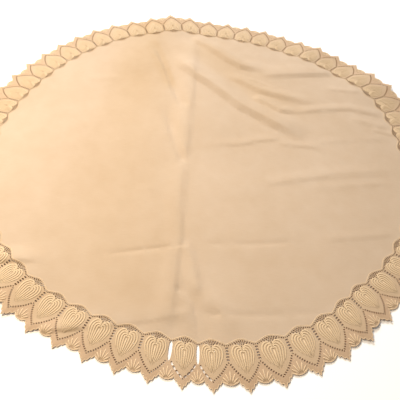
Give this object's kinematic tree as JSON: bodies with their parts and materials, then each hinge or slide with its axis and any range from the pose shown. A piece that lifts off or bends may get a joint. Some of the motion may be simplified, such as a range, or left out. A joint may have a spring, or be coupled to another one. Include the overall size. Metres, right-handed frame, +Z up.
{
  "type": "cutwork tablecloth",
  "caption": "Round ecru linen tablecloth lying spread out, with storage creases and a cutwork border of heart motifs, ladders of openings and a picot edge.",
  "frame": {"origin": "middle of the cloth's box, on the surface that it lies on", "axes": "+Z up, -Y towards the side nearest the viewer of the picture, +X to that viewer's right"},
  "size_m": [1.1948, 1.2018, 0.0129],
  "materials": {
    "linen": "matt plain-woven ecru linen, a little uneven in tone from age, with raised satin stitching"
  },
  "bodies": {
    "root": {"cloth": "linen"}
  },
  "joints": []
}
